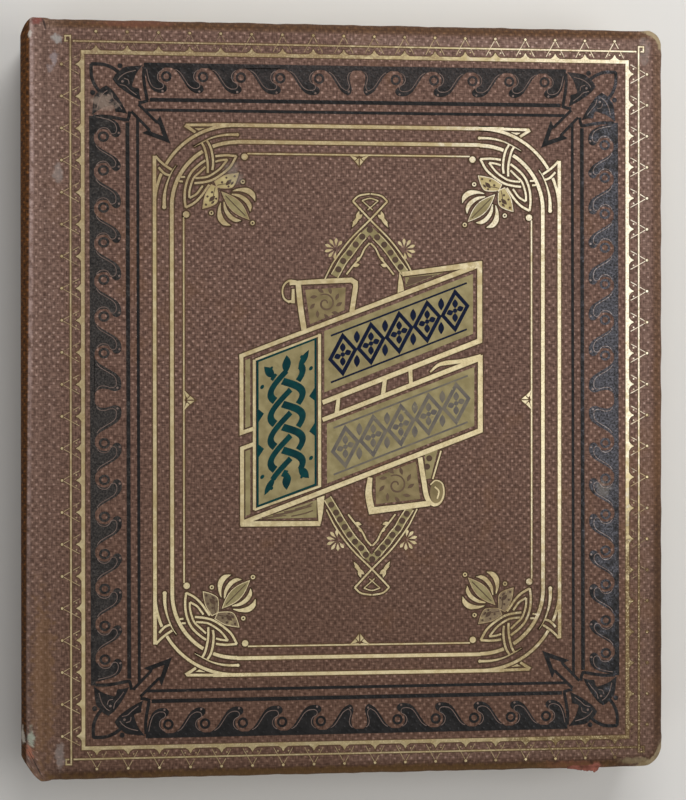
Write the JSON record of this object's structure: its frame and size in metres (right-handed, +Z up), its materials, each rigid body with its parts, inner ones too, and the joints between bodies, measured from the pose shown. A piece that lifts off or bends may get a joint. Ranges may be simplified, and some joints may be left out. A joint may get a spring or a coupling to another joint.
{
  "type": "album",
  "caption": "Closed cloth-bound scrap album with bevelled boards and a round-shouldered spine; covers and card leaves turn on cloth joints and linen guards.",
  "frame": {"origin": "on the back cover's outer face, under the middle of the closed album", "axes": "+X from the spine to the fore-edge, +Y from tail to head, +Z up through the front cover"},
  "size_m": [0.255, 0.296, 0.0344],
  "materials": {
    "cloth": "grained bookcloth",
    "board": "matt millboard",
    "lining_paper": "matt",
    "endpaper": "matt, toned",
    "leaf_card": "matt, toned",
    "linen": "plain weave",
    "thread": "linen thread",
    "headband": "striped, rolled"
  },
  "bodies": {
    "back_cover": {"back_board": "board", "back_cloth": "cloth", "back_infill": "lining_paper", "back_pastedown": "endpaper"},
    "spine": {"spine_cloth": "cloth", "spine_strip": "board", "spine_lining": "lining_paper", "mull": "linen", "sewing_tapes": "linen", "sewing_thread": "thread", "spine_stubs": "board", "headband": "headband", "tailband": "headband", "front_joint_cloth": "cloth", "back_joint_cloth": "cloth", "front_inner_joint": "endpaper", "back_inner_joint": "endpaper", "front_leaf_guards": "linen", "back_leaf_guards": "linen"},
    "front_cover": {"front_board": "board", "front_cloth": "cloth", "front_infill": "lining_paper", "front_pastedown": "endpaper"},
    "front_flyleaf": {"front_flyleaf": "endpaper"},
    "leaf_01": {"leaf_01": "leaf_card"},
    "leaf_02": {"leaf_02": "leaf_card"},
    "leaf_03": {"leaf_03": "leaf_card"},
    "leaf_04": {"leaf_04": "leaf_card"},
    "leaf_05": {"leaf_05": "leaf_card"},
    "leaf_06": {"leaf_06": "leaf_card"},
    "leaf_07": {"leaf_07": "leaf_card"},
    "leaf_08": {"leaf_08": "leaf_card"},
    "leaf_09": {"leaf_09": "leaf_card"},
    "leaf_10": {"leaf_10": "leaf_card"},
    "leaf_11": {"leaf_11": "leaf_card"},
    "leaf_12": {"leaf_12": "leaf_card"},
    "leaf_13": {"leaf_13": "leaf_card"},
    "leaf_14": {"leaf_14": "leaf_card"},
    "leaf_15": {"leaf_15": "leaf_card"},
    "leaf_16": {"leaf_16": "leaf_card"},
    "leaf_17": {"leaf_17": "leaf_card"},
    "leaf_18": {"leaf_18": "leaf_card"},
    "leaf_19": {"leaf_19": "leaf_card"},
    "leaf_20": {"leaf_20": "leaf_card"},
    "leaf_21": {"leaf_21": "leaf_card"},
    "leaf_22": {"leaf_22": "leaf_card"},
    "leaf_23": {"leaf_23": "leaf_card"},
    "leaf_24": {"leaf_24": "leaf_card"},
    "back_flyleaf": {"back_flyleaf": "endpaper"}
  },
  "joints": [
    {"name": "back_joint", "type": "hinge", "parent": "back_cover", "child": "spine", "pos_m": [-0.1224, 0, 0.0051], "axis": [0, -1, 0], "range_deg": [0, 90], "deforming": ["back_joint_cloth", "back_inner_joint", "back_leaf_guards"]},
    {"name": "front_joint", "type": "hinge", "parent": "spine", "child": "front_cover", "pos_m": [-0.1224, 0, 0.0293], "axis": [0, -1, 0], "range_deg": [0, 90], "deforming": ["front_joint_cloth", "front_inner_joint", "front_leaf_guards"]},
    {"name": "front_flyleaf_turn", "type": "hinge", "parent": "spine", "child": "front_flyleaf", "pos_m": [-0.1224, 0, 0.02905], "axis": [0, -1, 0], "range_deg": [-90, 90]},
    {"name": "leaf_01_turn", "type": "hinge", "parent": "spine", "child": "leaf_01", "pos_m": [-0.1224, 0, 0.02824], "axis": [0, -1, 0], "range_deg": [-90, 90]},
    {"name": "leaf_02_turn", "type": "hinge", "parent": "spine", "child": "leaf_02", "pos_m": [-0.1224, 0, 0.02728], "axis": [0, -1, 0], "range_deg": [-90, 90]},
    {"name": "leaf_03_turn", "type": "hinge", "parent": "spine", "child": "leaf_03", "pos_m": [-0.1224, 0, 0.02632], "axis": [0, -1, 0], "range_deg": [-90, 90]},
    {"name": "leaf_04_turn", "type": "hinge", "parent": "spine", "child": "leaf_04", "pos_m": [-0.1224, 0, 0.02536], "axis": [0, -1, 0], "range_deg": [-90, 90]},
    {"name": "leaf_05_turn", "type": "hinge", "parent": "spine", "child": "leaf_05", "pos_m": [-0.1224, 0, 0.0244], "axis": [0, -1, 0], "range_deg": [-90, 90]},
    {"name": "leaf_06_turn", "type": "hinge", "parent": "spine", "child": "leaf_06", "pos_m": [-0.1224, 0, 0.02344], "axis": [0, -1, 0], "range_deg": [-90, 90]},
    {"name": "leaf_07_turn", "type": "hinge", "parent": "spine", "child": "leaf_07", "pos_m": [-0.1224, 0, 0.02248], "axis": [0, -1, 0], "range_deg": [-90, 90]},
    {"name": "leaf_08_turn", "type": "hinge", "parent": "spine", "child": "leaf_08", "pos_m": [-0.1224, 0, 0.02152], "axis": [0, -1, 0], "range_deg": [-90, 90]},
    {"name": "leaf_09_turn", "type": "hinge", "parent": "spine", "child": "leaf_09", "pos_m": [-0.1224, 0, 0.02056], "axis": [0, -1, 0], "range_deg": [-90, 90]},
    {"name": "leaf_10_turn", "type": "hinge", "parent": "spine", "child": "leaf_10", "pos_m": [-0.1224, 0, 0.0196], "axis": [0, -1, 0], "range_deg": [-90, 90]},
    {"name": "leaf_11_turn", "type": "hinge", "parent": "spine", "child": "leaf_11", "pos_m": [-0.1224, 0, 0.01864], "axis": [0, -1, 0], "range_deg": [-90, 90]},
    {"name": "leaf_12_turn", "type": "hinge", "parent": "spine", "child": "leaf_12", "pos_m": [-0.1224, 0, 0.01768], "axis": [0, -1, 0], "range_deg": [-90, 90]},
    {"name": "leaf_13_turn", "type": "hinge", "parent": "spine", "child": "leaf_13", "pos_m": [-0.1224, 0, 0.01672], "axis": [0, -1, 0], "range_deg": [-90, 90]},
    {"name": "leaf_14_turn", "type": "hinge", "parent": "spine", "child": "leaf_14", "pos_m": [-0.1224, 0, 0.01576], "axis": [0, -1, 0], "range_deg": [-90, 90]},
    {"name": "leaf_15_turn", "type": "hinge", "parent": "spine", "child": "leaf_15", "pos_m": [-0.1224, 0, 0.0148], "axis": [0, -1, 0], "range_deg": [-90, 90]},
    {"name": "leaf_16_turn", "type": "hinge", "parent": "spine", "child": "leaf_16", "pos_m": [-0.1224, 0, 0.01384], "axis": [0, -1, 0], "range_deg": [-90, 90]},
    {"name": "leaf_17_turn", "type": "hinge", "parent": "spine", "child": "leaf_17", "pos_m": [-0.1224, 0, 0.01288], "axis": [0, -1, 0], "range_deg": [-90, 90]},
    {"name": "leaf_18_turn", "type": "hinge", "parent": "spine", "child": "leaf_18", "pos_m": [-0.1224, 0, 0.01192], "axis": [0, -1, 0], "range_deg": [-90, 90]},
    {"name": "leaf_19_turn", "type": "hinge", "parent": "spine", "child": "leaf_19", "pos_m": [-0.1224, 0, 0.01096], "axis": [0, -1, 0], "range_deg": [-90, 90]},
    {"name": "leaf_20_turn", "type": "hinge", "parent": "spine", "child": "leaf_20", "pos_m": [-0.1224, 0, 0.01], "axis": [0, -1, 0], "range_deg": [-90, 90]},
    {"name": "leaf_21_turn", "type": "hinge", "parent": "spine", "child": "leaf_21", "pos_m": [-0.1224, 0, 0.00904], "axis": [0, -1, 0], "range_deg": [-90, 90]},
    {"name": "leaf_22_turn", "type": "hinge", "parent": "spine", "child": "leaf_22", "pos_m": [-0.1224, 0, 0.00808], "axis": [0, -1, 0], "range_deg": [-90, 90]},
    {"name": "leaf_23_turn", "type": "hinge", "parent": "spine", "child": "leaf_23", "pos_m": [-0.1224, 0, 0.00712], "axis": [0, -1, 0], "range_deg": [-90, 90]},
    {"name": "leaf_24_turn", "type": "hinge", "parent": "spine", "child": "leaf_24", "pos_m": [-0.1224, 0, 0.00616], "axis": [0, -1, 0], "range_deg": [-90, 90]},
    {"name": "back_flyleaf_turn", "type": "hinge", "parent": "spine", "child": "back_flyleaf", "pos_m": [-0.1224, 0, 0.00535], "axis": [0, -1, 0], "range_deg": [-90, 90]}
  ],
  "couplings": [
    {"joint": "front_flyleaf_turn", "follows": "front_joint", "ratio": 0.98},
    {"joint": "leaf_01_turn", "follows": "front_joint", "ratio": 0.905},
    {"joint": "leaf_02_turn", "follows": "front_joint", "ratio": 0.83},
    {"joint": "leaf_03_turn", "follows": "front_joint", "ratio": 0.755},
    {"joint": "leaf_04_turn", "follows": "front_joint", "ratio": 0.68},
    {"joint": "leaf_05_turn", "follows": "front_joint", "ratio": 0.605},
    {"joint": "leaf_06_turn", "follows": "front_joint", "ratio": 0.53},
    {"joint": "leaf_07_turn", "follows": "front_joint", "ratio": 0.455},
    {"joint": "leaf_08_turn", "follows": "front_joint", "ratio": 0.38},
    {"joint": "leaf_09_turn", "follows": "front_joint", "ratio": 0.305},
    {"joint": "leaf_10_turn", "follows": "front_joint", "ratio": 0.23},
    {"joint": "leaf_11_turn", "follows": "front_joint", "ratio": 0.155},
    {"joint": "leaf_12_turn", "follows": "front_joint", "ratio": 0.08},
    {"joint": "leaf_13_turn", "follows": "back_joint", "ratio": -0.08},
    {"joint": "leaf_14_turn", "follows": "back_joint", "ratio": -0.155},
    {"joint": "leaf_15_turn", "follows": "back_joint", "ratio": -0.23},
    {"joint": "leaf_16_turn", "follows": "back_joint", "ratio": -0.305},
    {"joint": "leaf_17_turn", "follows": "back_joint", "ratio": -0.38},
    {"joint": "leaf_18_turn", "follows": "back_joint", "ratio": -0.455},
    {"joint": "leaf_19_turn", "follows": "back_joint", "ratio": -0.53},
    {"joint": "leaf_20_turn", "follows": "back_joint", "ratio": -0.605},
    {"joint": "leaf_21_turn", "follows": "back_joint", "ratio": -0.68},
    {"joint": "leaf_22_turn", "follows": "back_joint", "ratio": -0.755},
    {"joint": "leaf_23_turn", "follows": "back_joint", "ratio": -0.83},
    {"joint": "leaf_24_turn", "follows": "back_joint", "ratio": -0.905},
    {"joint": "back_flyleaf_turn", "follows": "back_joint", "ratio": -0.98}
  ]
}
